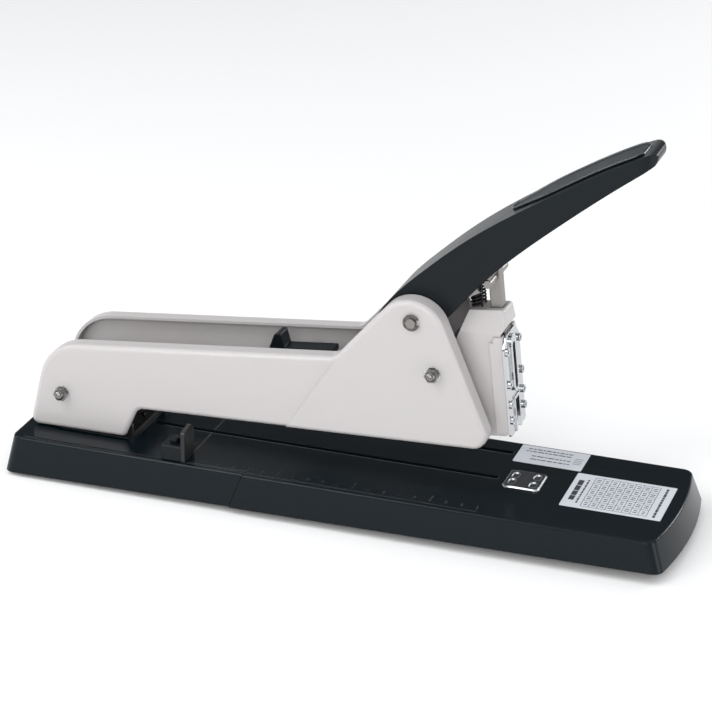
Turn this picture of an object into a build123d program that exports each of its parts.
"""Long-reach heavy-duty stapler: base, raised arm, head, lever, magazine, depth guide and turning anvil."""

from build123d import *
import math
import os

os.makedirs("parts", exist_ok=True)

# ---------------------------------------------------------------- driving dimensions, mm
TABLE_Z = 26.0  # top face of the base
ANVIL_X = 113.0  # anvil centre
REAR_X, FRONT_CORNER_X, FRONT_X = -213.6, 206.0, 212.2  # top outline of the base
HALF_REAR, HALF_FRONT = 50.2, 51.4  # half widths of the two covers at the top
FLARE, FRONT_FLARE = 5.2, 8.7  # how far the skirt spreads over the height, at the sides and in front
WALL = 2.5
SEAM_X, SKIRT_SEAM_X, SEAM_Y = -95.0, -54.0, 45.9
CHASSIS_LOW, CHASSIS_TOP = 8.5, 10.5
PIVOT_X, PIVOT_Z = -185.2, 52.5  # arm pivot
OPEN_DEG = 6.0  # how far the arm stands open at rest
PLATE_Y, PLATE_T, LIP_Y, JOGGLE = 32.0, 2.0, 20.0, 1.5
PIN_X, PIN_Z, PIN_R = 57.0, 111.6, 3.0  # lever pin, arm level
BOLT_X, BOLT_Z, BOLT_R = 67.4, 78.6, 2.5  # front cross bolt, arm level
HEAD_HALF, HEAD_TOP, HEAD_LOW, HEAD_FRONT = 12.5, 111.4, 31.0, 104.8
HEAD_TOP_HALF, SHOULDER_Z, BROW_X = 8.0, 98.5, 107.4  # the head narrows above the shoulder
PLUNGER_X0, PLUNGER_X1, PLUNGER_HALF = 97.4, 104.9, 3.9
DRIVE_X, DRIVE_Z = 101.2, 131.2  # plunger pin, arm level
PLUNGER_TRAVEL = 16.8
GUIDE_X, GUIDE_Y = -93.5, -48.4
GROOVE_Y0, GROOVE_Y1 = -47.6, -46.6


def corner_path(points):
    """Closed line through the points (x, y, r), each corner rounded to its radius r."""
    n = len(points)
    ends = []
    for i, (x, y, r) in enumerate(points):
        ax, ay, _ = points[i - 1]
        bx, by, _ = points[(i + 1) % n]
        la, lb = math.hypot(ax - x, ay - y), math.hypot(bx - x, by - y)
        ua, ub = ((ax - x) / la, (ay - y) / la), ((bx - x) / lb, (by - y) / lb)
        if r <= 0:
            ends.append(((x, y), None, (x, y)))
            continue
        turn = math.acos(max(-1.0, min(1.0, ua[0] * ub[0] + ua[1] * ub[1])))
        t = r / math.tan(turn / 2)
        hx, hy = ua[0] + ub[0], ua[1] + ub[1]
        lh = math.hypot(hx, hy)
        reach = r / math.sin(turn / 2) - r
        ends.append(
            (
                (x + ua[0] * t, y + ua[1] * t),
                (x + hx / lh * reach, y + hy / lh * reach),
                (x + ub[0] * t, y + ub[1] * t),
            )
        )
    for i in range(n):
        start, mid, stop = ends[i]
        if mid is not None:
            ThreePointArc(start, mid, stop)
        Line(stop, ends[(i + 1) % n][0])


def side_face(points, y):
    """Face in the XZ plane at the given y."""
    with BuildSketch(Plane.XZ.offset(-y)) as s:
        with BuildLine():
            corner_path(points)
        make_face()
    return s.sketch


def slab(points, y0, y1):
    """Outline in X and Z, solid from y0 to y1 (y0 below y1)."""
    with BuildPart() as p:
        add(extrude(side_face(points, y1), amount=y1 - y0))
    return p.part


def block(x0, x1, y0, y1, z0, z1):
    return Pos((x0 + x1) / 2, (y0 + y1) / 2, (z0 + z1) / 2) * Box(x1 - x0, y1 - y0, z1 - z0)


def rod_y(x, z, r, y0, y1):
    return Pos(x, (y0 + y1) / 2, z) * Rot(90, 0, 0) * Cylinder(r, y1 - y0)


def rod_z(x, y, r, z0, z1):
    return Pos(x, y, (z0 + z1) / 2) * Cylinder(r, z1 - z0)


def rod_x(y, z, r, x0, x1):
    return Pos((x0 + x1) / 2, y, z) * Rot(0, 90, 0) * Cylinder(r, x1 - x0)


def coil(radius, wire, height, turns):
    """Round-wire coil standing on z = 0."""
    with BuildPart() as p:
        with BuildLine() as path:
            Helix(pitch=(height - 2 * wire) / turns, height=height - 2 * wire, radius=radius)
        with BuildSketch(Plane(origin=path.line @ 0, z_dir=path.line % 0)):
            Circle(wire)
        sweep()
    return Pos(0, 0, wire) * p.part


def raised(shape):
    """Carries a piece drawn with the arm level into the open rest position."""
    return Pos(PIVOT_X, 0, PIVOT_Z) * Rot(0, -OPEN_DEG, 0) * Pos(-PIVOT_X, 0, -PIVOT_Z) * shape


def save(label, shape):
    shape.label = label
    export_step(shape, "parts/" + label + ".step")


# ---------------------------------------------------------------- base covers
def base_outline(half, grow, z):
    ahead = grow * FRONT_FLARE / FLARE if grow > 0 else grow
    x0, x1, x2, w = REAR_X - grow, FRONT_CORNER_X + ahead, FRONT_X + ahead, half + grow
    with BuildSketch(Plane.XY.offset(z)) as s:
        with BuildLine():
            Polyline((x1, w), (x0, w), (x0, -w), (x1, -w))
            ThreePointArc((x1, -w), (x2, 0), (x1, w))
        make_face()
        fillet(s.vertices(), 7)
    return s.sketch


def base_shell(half):
    with BuildPart() as outer:
        loft([base_outline(half, FLARE, 0), base_outline(half, 0, TABLE_Z)])
        top = outer.faces().sort_by(Axis.Z)[-1]
        fillet(top.edges(), 1.6)
    with BuildPart() as inner:
        loft([base_outline(half, FLARE - WALL + 0.2, -1), base_outline(half, -WALL, TABLE_Z - WALL)])
    shell = outer.part - inner.part
    wedge = slab([(-260, -40, 0), (260, -40, 0), (260, 8.0, 0), (-260, 2.0, 0)], -90, 90)
    return shell - wedge


seam_skirt = [(-300, -30, 0), (SKIRT_SEAM_X - 20.4, -30, 0), (SKIRT_SEAM_X + 1.5, 30, 0), (-300, 30, 0)]
rear_side = slab(seam_skirt, -80, -SEAM_Y) + slab(seam_skirt, SEAM_Y, 80)
rear_region = rear_side + block(-300, SEAM_X, -80, 80, -5, 40)
gap_skirt = [(x + 0.35, z, r) if x > -250 else (x, z, r) for x, z, r in seam_skirt]
gap_region = (
    slab(gap_skirt, -80, -SEAM_Y + 0.3)
    + slab(gap_skirt, SEAM_Y - 0.3, 80)
    + block(-300, SEAM_X + 0.35, -80, 80, -5, 40)
)

BOSSES = [(-196, 43), (-112, 43), (-38, 43), (62, 43), (186, 41)]
boss_at = [(x, s * y) for x, y in BOSSES for s in (-1, 1)]


def bosses(points):
    made = None
    for x, y in points:
        one = rod_z(x, y, 3.6, CHASSIS_TOP, TABLE_Z - WALL + 0.2)
        one -= rod_z(x, y, 1.55, CHASSIS_TOP, TABLE_Z - 5)
        made = one if made is None else made + one
    return made


ANVIL_HOLE = rod_z(ANVIL_X, 0, 4.3, 15, 30)
cuts = block(-205, 96, GROOVE_Y0, GROOVE_Y1, TABLE_Z - 1.2, 30)  # rail groove of the depth guide
cuts += block(-135, 96, -2.0, 2.0, 15, 30) + block(-135, 95, 33.8, 38.0, 15, 30)  # long slots
for s in (-1, 1):
    cuts += block(-190, -141, min(s * 27.7, s * 31.3), max(s * 27.7, s * 31.3), 15, 30)  # arm feet
cuts += ANVIL_HOLE
screw_at = [(-200, -12), (-200, 12), (-150, -14), (-150, 14)]
for x, y in screw_at:
    cuts += rod_z(x, y, 2.6, 15, 30)
for i in range(19):  # depth scale, one line each 10 mm, longer each 50 mm
    x = -84 + 10 * i
    cuts += block(x - 0.3, x + 0.3, -44.0, -37.0 if i % 5 == 0 else -40.5, TABLE_Z - 0.3, 30)

rear_cover = (base_shell(HALF_REAR) & rear_region) + bosses([p for p in boss_at if p[0] < SEAM_X])
save("base_rear_cover", rear_cover - cuts)
front_cover = (base_shell(HALF_FRONT) - gap_region) + bosses([p for p in boss_at if p[0] > SEAM_X])
save("base_front_cover", front_cover - cuts)

# ---------------------------------------------------------------- chassis, feet and screws
with BuildSketch(Plane.XY.offset(CHASSIS_LOW)) as chassis_outline:
    with Locations((0, 0)):
        RectangleRounded(408, 93, 8)
chassis = extrude(chassis_outline.sketch, amount=CHASSIS_TOP - CHASSIS_LOW) - rod_z(ANVIL_X, 0, 8.6, 0, 20)
screws = None
for x, y in boss_at:
    chassis -= rod_z(x, y, 1.7, 0, 20)
    one = rod_z(x, y, 3.2, CHASSIS_LOW - 1.9, CHASSIS_LOW) + rod_z(x, y, 1.5, CHASSIS_LOW, 20)
    one -= block(x - 2.2, x + 2.2, y - 0.45, y + 0.45, 0, CHASSIS_LOW - 1.1)
    one -= block(x - 0.45, x + 0.45, y - 2.2, y + 2.2, 0, CHASSIS_LOW - 1.1)
    screws = one if screws is None else screws + one
save("chassis_plate", chassis)
save("base_screws", screws)

feet = None
for x in (-178, 168):
    for y in (-33, 33):
        foot = Pos(x, y, CHASSIS_LOW / 2) * Cone(8.0, 9.5, CHASSIS_LOW) - rod_z(x, y, 3.5, -1, 1.2)
        feet = foot if feet is None else feet + foot
save("rubber_feet", feet)

beam = block(-205, 136, -20, 20, CHASSIS_TOP, TABLE_Z - WALL - 0.2)
beam -= block(-210, 140, -17.5, 17.5, 5, TABLE_Z - WALL - 2.7)
beam -= ANVIL_HOLE
for x, y in screw_at:
    beam -= rod_z(x, y, 2.6, 15, 30)
save("spine_beam", beam)

# ---------------------------------------------------------------- pivot bracket
EAR_IN, EAR_OUT, FLOOR_T = 24.0, 26.5, 2.5
FLOOR_Z = TABLE_Z + FLOOR_T
bracket = block(-206, -139, -EAR_OUT, EAR_OUT, TABLE_Z, FLOOR_Z)
ear = [
    (-206, TABLE_Z, 0),
    (-194.5, 61.5, 8.6),
    (-175.9, 61.5, 8.6),
    (-162, 38, 6),
    (-139, 36, 3),
    (-139, TABLE_Z, 0),
]
bracket += slab(ear, -EAR_OUT, -EAR_IN) + slab(ear, EAR_IN, EAR_OUT)
bracket -= rod_y(PIVOT_X, PIVOT_Z, BOLT_R + 0.06, -30, 30)
for x, y in screw_at:
    bracket -= rod_z(x, y, 2.6, 20, 30)
save("pivot_bracket", bracket)

heads = None
for x, y in screw_at:
    one = rod_z(x, y, 4.2, FLOOR_Z, FLOOR_Z + 2.6) + rod_z(x, y, 2.5, 17, FLOOR_Z)
    one -= block(x - 2.8, x + 2.8, y - 0.5, y + 0.5, FLOOR_Z + 1.4, 40)
    one -= block(x - 0.5, x + 0.5, y - 2.8, y + 2.8, FLOOR_Z + 1.4, 40)
    heads = one if heads is None else heads + one
save("bracket_screws", heads)

# ---------------------------------------------------------------- labels on the table
LABEL_T = 0.2
with BuildSketch(Plane.XY.offset(TABLE_Z)) as label_a:
    with Locations((ANVIL_X + 6.6, 37.1)):
        RectangleRounded(44.2, 24.4, 0.8)
save("caution_label", extrude(label_a.sketch, amount=LABEL_T))
with BuildSketch(Plane.XY.offset(TABLE_Z)) as label_b:
    with Locations((ANVIL_X + 59.4, 0)):
        RectangleRounded(62.8, 45.2, 0.8)
save("chart_label", extrude(label_b.sketch, amount=LABEL_T))

# ---------------------------------------------------------------- anvil
ANVIL_SIDE, ANVIL_LOW, ANVIL_T = 23.6, TABLE_Z + 0.1, 1.3
with BuildPart() as anvil:
    with BuildSketch(Plane.XY.offset(ANVIL_LOW)):
        with Locations((ANVIL_X, 0)):
            RectangleRounded(ANVIL_SIDE, ANVIL_SIDE, 3)
    extrude(amount=ANVIL_T)
    chamfer(anvil.faces().sort_by(Axis.Z)[-1].edges(), 0.8)
anvil_top = ANVIL_LOW + ANVIL_T
pockets = None
for dx in (-6.8, 6.8):  # one pair closes the staple legs inwards, the other opens them outwards
    for s in (-1, 1):
        reach = 4.4 if dx < 0 else 5.2
        with BuildSketch(Plane.XY.offset(anvil_top - 0.6)) as lobe:
            with Locations((ANVIL_X + dx, s * reach)):
                SlotOverall(7.6, 4.4, rotation=90)
        one = extrude(lobe.sketch, amount=2)
        pockets = one if pockets is None else pockets + one
save("anvil_plate", anvil.part - pockets)
stem = rod_z(ANVIL_X, 0, 4.0, 8, ANVIL_LOW)
stem += rod_z(ANVIL_X, 0, 6.8, 11.6, 13.0) + rod_z(ANVIL_X, 0, 8.0, 4.6, 8.0)
save("anvil_stem", stem)
save("anvil_spring", Pos(ANVIL_X, 0, 13.1) * coil(5.5, 0.5, 7.5, 4))

# ---------------------------------------------------------------- depth guide
guide_back = GUIDE_X - 2.5
with BuildSketch(Plane.YZ.offset(guide_back)) as stop_face:
    with BuildLine():
        corner_path(
            [
                (GUIDE_Y, TABLE_Z + 0.3, 0),
                (GUIDE_Y, TABLE_Z + 20.6, 2),
                (-37, TABLE_Z + 22.4, 3),
                (-33.4, TABLE_Z + 18, 3),
                (-33.4, TABLE_Z + 0.3, 0),
            ]
        )
    make_face()
save("guide_stop", extrude(stop_face.sketch, amount=2.5))
guide_block = block(guide_back - 13.5, guide_back, GUIDE_Y, -34.2, TABLE_Z + 0.3, TABLE_Z + 10.5)
tongue = (GROOVE_Y0 + 0.1, GROOVE_Y1 - 0.1)  # runs in the groove of the base
guide_block += block(guide_back - 13.5, guide_back, *tongue, TABLE_Z - 1.0, TABLE_Z + 0.3)
with BuildPart() as guide_body:
    add(guide_block)
    fillet(guide_body.edges().filter_by(Axis.X).group_by(Axis.Z)[-1], 1.5)
save("guide_block", guide_body.part - rod_z(guide_back - 6.8, -41.2, 3.3, TABLE_Z + 5, TABLE_Z + 12))
save("guide_button", rod_z(guide_back - 6.8, -41.2, 3.2, TABLE_Z + 7.8, TABLE_Z + 13.6))

# ---------------------------------------------------------------- arm side plates (drawn level)
ARM = [
    (-212.7, 29.2, 5),
    (-192.4, 85.4, 31),
    (3.8, 85.4, 7),
    (65.5, 142.8, 22),
    (100.2, 28.6, 9),
    (-134.0, 42.9, 6),
    (-145.6, 23.0, 5),
]
with BuildPart() as plate_outer:
    add(extrude(side_face(ARM, -LIP_Y), amount=PLATE_Y - LIP_Y))
    fillet(plate_outer.faces().sort_by(Axis.Y)[0].edges(), 3.4)
with BuildSketch(Plane.XZ.offset(LIP_Y - 1)) as hollow:
    add(offset(side_face(ARM, -(LIP_Y - 1)), amount=-PLATE_T))
cavity = extrude(hollow.sketch, amount=PLATE_Y - PLATE_T - LIP_Y + 1)
plate_full = plate_outer.part - cavity - Pos(0, 0, -5) * cavity - Pos(0, 0, -9) * cavity
plate_full -= block(-150, -120, -30.0, -10, 10, 46) + block(-230, -120, -30.0, -10, 10, 37)
JOG = [(-57.4, 8.0, 0), (140, 8.0, 0), (140, 150, 0), (58.8, 150, 0)]
JOG_BACK = [(-260, 8.0, 0), (-55.6, 8.0, 0), (60.6, 150, 0), (-260, 150, 0)]
plate_front = plate_full & slab(JOG, -40, -10)
plate_rear = (Pos(0, JOGGLE, 0) * plate_full) & slab(JOG_BACK, -40, -LIP_Y)
near_plate = plate_front + plate_rear
near_plate -= rod_y(PIVOT_X, PIVOT_Z, BOLT_R + 0.05, -40, -10)
near_plate -= rod_y(BOLT_X, BOLT_Z, BOLT_R + 0.05, -40, -10)
near_plate -= rod_y(PIN_X, PIN_Z, PIN_R + 0.05, -40, -10)
near_plate = raised(near_plate)
save("arm_side_near", near_plate)
save("arm_side_far", mirror(near_plate, about=Plane.XZ))

# ---------------------------------------------------------------- arm cross pieces
save("pivot_bolt", raised(rod_y(PIVOT_X, PIVOT_Z, BOLT_R, -35, 35)))
save("cross_bolt", raised(rod_y(BOLT_X, BOLT_Z, BOLT_R, -36.5, 36.5)))


def rod_side(x, z, r, side, y0, y1):
    """Round bar along Y on one side, -1 or 1, between two distances from the middle."""
    return rod_y(x, z, r, min(side * y0, side * y1), max(side * y0, side * y1))


pin = rod_y(PIN_X, PIN_Z, PIN_R, -35.2, 35.2)
for s in (-1, 1):  # the grooves that the clips sit in
    pin -= rod_side(PIN_X, PIN_Z, 5, s, 33.0, 33.9) - rod_side(PIN_X, PIN_Z, 2.3, s, 32, 35)
save("handle_pin", raised(pin))
clips, nuts, washers, bushes = None, None, None, None
for s in (-1, 1):
    clip = rod_side(PIN_X, PIN_Z, 5.2, s, 33.05, 33.85) - rod_side(PIN_X, PIN_Z, 2.35, s, 32, 35)
    clip -= block(PIN_X, PIN_X + 8, min(s * 32, s * 35), max(s * 32, s * 35), PIN_Z - 1.9, PIN_Z + 1.9)
    clips = clip if clips is None else clips + clip
    for x, z, face in ((PIVOT_X, PIVOT_Z, PLATE_Y - JOGGLE), (BOLT_X, BOLT_Z, PLATE_Y)):
        ring = rod_side(x, z, 4.9, s, face, face + 1) - rod_y(x, z, BOLT_R + 0.05, -50, 50)
        washers = ring if washers is None else washers + ring
        with BuildPart() as nut:
            with BuildSketch(Plane.XZ):
                RegularPolygon(4.5, 6)
            extrude(amount=3.6)
            with Locations((0, -3.6, 0)):
                Sphere(3.4)
            split(bisect_by=Plane.XZ, keep=Keep.TOP)
        body = nut.part if s < 0 else mirror(nut.part, about=Plane.XZ)
        depth = (35 if face < PLATE_Y else 36.5) - face
        body = Pos(x, s * (face + 1), z) * body
        body -= rod_side(x, z, BOLT_R + 0.05, s, face, face + depth + 0.05)
        nuts = body if nuts is None else nuts + body
    bush = rod_side(PIVOT_X, PIVOT_Z, 6.5, s, 26.6, 28.45)
    bush -= rod_y(PIVOT_X, PIVOT_Z, BOLT_R + 0.05, -50, 50)
    bushes = bush if bushes is None else bushes + bush
save("pin_clips", raised(clips))
save("acorn_nuts", raised(nuts))
save("nut_washers", raised(washers))
save("pivot_bushings", raised(bushes))
spacer = rod_y(BOLT_X, BOLT_Z, 5.5, -30, 30) - rod_y(BOLT_X, BOLT_Z, BOLT_R + 0.05, -31, 31)
save("cross_spacer", raised(spacer))

bridge = block(-159, -141, -28.5, 28.5, 50, 52)
bridge += block(-159, -141, -28.5, -26.5, 52, 59) + block(-159, -141, 26.5, 28.5, 52, 59)
save("spring_bridge", bridge)
save("arm_spring", Pos(-150, 0, FLOOR_Z + 0.05) * coil(6.6, 0.9, 21.3, 5))

# ---------------------------------------------------------------- head (drawn level)
HEAD_SIDE = [
    (85.4, HEAD_TOP, 1),
    (BROW_X, HEAD_TOP, 2),
    (BROW_X, 100.0, 2),
    (HEAD_FRONT, 96.6, 1),
    (HEAD_FRONT, HEAD_LOW, 2),
    (80.0, HEAD_LOW, 3),
    (76.0, 40, 6),
    (76.0, 92, 8),
]


def head_section(half, top_half, top, x0, x1):
    """Cross-section of the head, narrower above the shoulder, solid from x0 to x1."""
    points = [
        (-half, 15, 0),
        (-half, SHOULDER_Z, 5),
        (-top_half, top, 1),
        (top_half, top, 1),
        (half, SHOULDER_Z, 5),
        (half, 15, 0),
    ]
    with BuildSketch(Plane.YZ.offset(x0)) as section:
        with BuildLine():
            corner_path(points)
        make_face()
    return extrude(section.sketch, amount=x1 - x0)


outer = head_section(HEAD_HALF, HEAD_TOP_HALF, HEAD_TOP + 0.2, 60, 120)
inner = head_section(HEAD_HALF - 1.5, HEAD_TOP_HALF - 1.5, HEAD_TOP - 1.5, 60, 125)
brow_room = [
    (70, HEAD_TOP - 1.6, 0),
    (BROW_X - 1.6, HEAD_TOP - 1.6, 0),
    (BROW_X - 1.6, 97.9, 0),
    (120, 97.9, 0),
    (120, 20, 0),
    (70, 20, 0),
]
bar_gap = 0.4
head = slab(HEAD_SIDE, -HEAD_HALF, HEAD_HALF) & outer
head -= slab(brow_room, -HEAD_HALF, HEAD_HALF) & inner
bar_half = PLUNGER_HALF + bar_gap
head -= block(PLUNGER_X0 - bar_gap, PLUNGER_X1 + bar_gap, -bar_half, bar_half, 100, 130)
save("head_housing", raised(head))

FACE_X = 106.2  # back of the chrome front plate
wrap = None
for s in (-1, 1):
    side = block(98.0, FACE_X - 0.3, min(s * 12.6, s * 14.1), max(s * 12.6, s * 14.1), 33, 96)
    side += block(FACE_X - 1.3, FACE_X - 0.1, min(s * 9.0, s * 14.1), max(s * 9.0, s * 14.1), 33, 96)
    side -= block(96, 100.5, -20, 20, 92.5, 99)
    wrap = side if wrap is None else wrap + side
SCREW_Y, SCREW_Z = 12.5, (86.3, 65.2, 52.2, 41.8)
with BuildSketch(Plane.YZ.offset(FACE_X)) as face_outline:
    with BuildLine():
        corner_path(
            [
                (-15.5, 31.5, 2),
                (-15.5, 88.5, 4),
                (-9.5, 95.8, 4),
                (9.5, 95.8, 4),
                (15.5, 88.5, 4),
                (15.5, 31.5, 2),
            ]
        )
    make_face()
face_plate = extrude(face_outline.sketch, amount=1.4)
with BuildSketch(Plane.YZ.offset(FACE_X + 1.4)) as rim:
    with Locations((0, 75.0)):
        SlotOverall(37, 10.5, rotation=90)
face_plate += extrude(rim.sketch, amount=1.3)
with BuildSketch(Plane.YZ.offset(FACE_X - 1)) as slit:
    with Locations((0, 73.5)):
        SlotOverall(30, 5.0, rotation=90)
face_plate -= extrude(slit.sketch, amount=8)
face_plate -= block(FACE_X - 1, FACE_X + 4, -3.6, 3.6, 20, 52)
face_plate += block(FACE_X + 1.4, FACE_X + 2.2, -5.4, -3.6, 31.5, 54)
face_plate += block(FACE_X + 1.4, FACE_X + 2.2, 3.6, 5.4, 31.5, 54)
face_plate += block(FACE_X + 1.4, FACE_X + 2.2, -5.4, 5.4, 52, 54)
screws = None
for y in (-SCREW_Y, SCREW_Y):
    for z in SCREW_Z:
        face_plate -= rod_x(y, z, 1.3, FACE_X - 1, FACE_X + 3)
        wrap -= rod_x(y, z, 1.3, FACE_X - 3, FACE_X + 1)
        one = rod_x(y, z, 2.5, FACE_X + 1.4, FACE_X + 3.1) + rod_x(y, z, 1.2, FACE_X - 1.2, FACE_X + 1.4)
        one -= block(FACE_X + 2.2, FACE_X + 4, y - 1.9, y + 1.9, z - 0.45, z + 0.45)
        one -= block(FACE_X + 2.2, FACE_X + 4, y - 0.45, y + 0.45, z - 1.9, z + 1.9)
        screws = one if screws is None else screws + one
save("head_wrap", raised(wrap))
save("front_plate", raised(face_plate))
save("front_plate_screws", raised(screws))
mounts = block(76, 83.5, -30, -HEAD_HALF, 42, 70) + block(76, 83.5, HEAD_HALF, 30, 42, 70)
save("head_mounts", raised(mounts))
springs = None
for s in (-1, 1):
    one = Pos(89.2, s * 3.9, HEAD_TOP + 0.05) * coil(3.0, 0.65, 20.4, 9)
    springs = one if springs is None else springs + one
save("return_springs", raised(springs))

# ---------------------------------------------------------------- plunger, pin and blade
BAR_LOW, BAR_TOP = 67.5, 138.5  # at the end of the stroke the bar stays clear of the staples
with BuildSketch(Plane.XY.offset(BAR_LOW)) as bar_section:
    with Locations(((PLUNGER_X0 + PLUNGER_X1) / 2, 0)):
        RectangleRounded(PLUNGER_X1 - PLUNGER_X0, 2 * PLUNGER_HALF, 0.8)
bar = extrude(bar_section.sketch, amount=BAR_TOP - BAR_LOW) - rod_y(DRIVE_X, DRIVE_Z, 2.5, -9, 9)
save("plunger_bar", raised(bar))
save("plunger_pin", raised(rod_y(DRIVE_X, DRIVE_Z, 2.5, -17.2, 17.2)))
save("driver_blade", raised(block(PLUNGER_X1, PLUNGER_X1 + 0.8, -6.2, 6.2, 51, 97)))

# ---------------------------------------------------------------- magazine
RAIL_LOW, RAIL_TOP, RAIL_REAR = 38.0, 51.5, -42.0
rail = block(RAIL_REAR, 104.6, -8.2, 8.2, RAIL_LOW, RAIL_TOP)
rail -= block(-70, 120, -7.0, 7.0, RAIL_LOW + 1.2, 60)
save("magazine_rail", raised(rail + block(70, 76, -30, -8.2, 41, 47) + block(70, 76, 8.2, 30, 41, 47)))
save("magazine_core", raised(block(RAIL_REAR, 104.2, -5.4, 5.4, RAIL_LOW + 1.2, 48.0)))
strip = block(30, 104.4, -6.6, 6.6, RAIL_LOW + 1.3, 49.4) - block(20, 110, -5.6, 5.6, RAIL_LOW, 48.2)
save("staple_strip", raised(strip))
PUSH_X, LEG_X0, LEG_X1, ROD_Z = 29.7, -14.0, -7.0, 57.0
push = block(LEG_X0, PUSH_X, -6.6, 6.6, 48.3, 50.6)
push += block(PUSH_X - 22, PUSH_X, -6.6, -5.7, 40, 49) + block(PUSH_X - 22, PUSH_X, 5.7, 6.6, 40, 49)
push += block(LEG_X0, LEG_X1, -3.4, 3.4, 50.6, 77.6)
push += block(-46, LEG_X1, -5.0, 5.0, 76.6, 79.8)
tab = [(-50.5, 76.6, 0), (-44.6, 89.0, 2.0), (-40.8, 89.0, 1.0), (-38.6, 76.6, 0)]
push += slab(tab, -6.0, 6.0)
push -= rod_x(0, ROD_Z, 1.75, -60, 74)
save("pusher", raised(push))
save("pusher_rod", raised(rod_x(0, ROD_Z, 1.5, -42, 74)))
rod_clips = block(70.5, 73.5, -30, 30, ROD_Z - 3.5, ROD_Z + 3.5) - rod_x(0, ROD_Z, 1.55, 60, 80)
save("rod_holder", raised(rod_clips))

# ---------------------------------------------------------------- lever
TOP = [
    (27.9, 106.1),
    (35.4, 116.3),
    (49.6, 129.6),
    (63.5, 140.2),
    (77.0, 150.0),
    (103.7, 166.8),
    (129.4, 180.4),
    (154.7, 192.9),
    (179.4, 204.0),
    (200.5, 211.8),
]
LOW = [
    (205.6, 205.4),
    (185.9, 193.9),
    (161.3, 178.4),
    (129.7, 157.0),
    (110.2, 142.4),
    (86.7, 121.3),
    (74.3, 108.8),
]


def lever_face(y):
    with BuildSketch(Plane.XZ.offset(-y)) as s:
        with BuildLine():
            Spline(*TOP)
            Spline(TOP[-1], (206.8, 210.8), LOW[0], tangents=[(1, 0.25), (-0.55, -0.9)])
            Spline(*LOW)
            Spline(LOW[-1], (66.0, 101.0), (50.0, 99.0), (36.0, 101.5), TOP[0])
        make_face()
    return s.sketch


LEVER_HALF, LEVER_WALL = 19.3, 1.9
with BuildPart() as lever:
    add(extrude(lever_face(LEVER_HALF), amount=2 * LEVER_HALF))
lever_solid = lever.part
top_inner = [(x + 1.0, z - 2.2) for x, z in TOP]
with BuildSketch(Plane.XZ.offset(-(LEVER_HALF - LEVER_WALL))) as room:
    with BuildLine():
        Spline(*top_inner)
        Polyline(top_inner[-1], (202.4, 209.0), (198.6, 190), (100, 60), (20, 60), top_inner[0])
    make_face()
lever_room = extrude(room.sketch, amount=2 * (LEVER_HALF - LEVER_WALL))


def lever_plan(half, tip, corner):
    """Plan of the lever seen from above: straight sides that narrow a little to a round tip."""
    with BuildSketch(Plane.XY.offset(60)) as plan:
        with BuildLine():
            corner_path(
                [
                    (10, -half, 0),
                    (10, half, 0),
                    (150, half, 60),
                    (tip, half - 2.5, corner),
                    (tip, 2.5 - half, corner),
                    (150, -half, 60),
                ]
            )
        make_face()
    return extrude(plan.sketch, amount=200)


plan_solid = lever_plan(LEVER_HALF, 207.8, 12)
lever_room = lever_room & lever_plan(LEVER_HALF - LEVER_WALL, 205.4, 10.2)
pin_hole = rod_y(PIN_X, PIN_Z, PIN_R + 0.05, -40, 40)
save("handle_shell", raised((lever_solid & plan_solid) - lever_room - pin_hole))

PAD_HALF, PAD_RISE = 14.0, 1.0
pad_line = [(103.7, 166.8), (129.4, 180.4), (154.7, 192.9), (179.4, 204.0), (198.0, 210.9)]
with BuildSketch(Plane.XZ.offset(-PAD_HALF)) as pad_face:
    with BuildLine():
        Spline(*[(x - 0.4, z + PAD_RISE) for x, z in pad_line])
        Polyline((197.6, 210.9 + PAD_RISE), (200.0, 209.6), (198.0, 209.4))
        Spline(*[(x, z - 1.5) for x, z in reversed(pad_line)])
        Line((103.7, 165.3), (103.3, 166.8 + PAD_RISE))
    make_face()
with BuildSketch(Plane.XY.offset(120)) as pad_plan:
    with BuildLine():
        corner_path(
            [
                (104.5, 0, 6),
                (140, PAD_HALF - 0.5, 40),
                (199.6, PAD_HALF - 1.5, 9),
                (199.6, 1.5 - PAD_HALF, 9),
                (140, 0.5 - PAD_HALF, 40),
            ]
        )
    make_face()
pad = (extrude(pad_face.sketch, amount=2 * PAD_HALF) & extrude(pad_plan.sketch, amount=120)) - lever_solid
save("handle_pad", raised(pad))

FRAME_HALF, FRAME_T = 17.2, 2.0
frame_side = [
    (47.0, 104.0, 4),
    (44.0, 117.0, 4),
    (84.0, 143.0, 6),
    (111.0, 151.5, 1.5),
    (112.0, 145.5, 1.5),
    (97.0, 126.2, 3),
    (84.0, 121.0, 4),
    (66.0, 103.0, 5),
]
frame = slab(frame_side, -FRAME_HALF, -FRAME_HALF + FRAME_T)
frame += slab(frame_side, FRAME_HALF - FRAME_T, FRAME_HALF)
frame += block(80.5, 91.0, -FRAME_HALF, FRAME_HALF, 132, 134)
frame += block(62, 80.5, -FRAME_HALF, FRAME_HALF, 126, 128)
frame -= pin_hole
slot_run = None
for k in range(6):  # the slot follows the plunger pin as the lever turns
    turn = math.radians(4 * k)
    dx, dz = DRIVE_X - PIN_X, DRIVE_Z - PIN_Z - PLUNGER_TRAVEL * turn / math.radians(20)
    x = PIN_X + dx * math.cos(turn) - dz * math.sin(turn)
    z = PIN_Z + dx * math.sin(turn) + dz * math.cos(turn)
    one = rod_y(x, z, 3.2, -30, 30)
    slot_run = one if slot_run is None else slot_run + one
save("handle_frame", raised(frame - slot_run))
print("done")
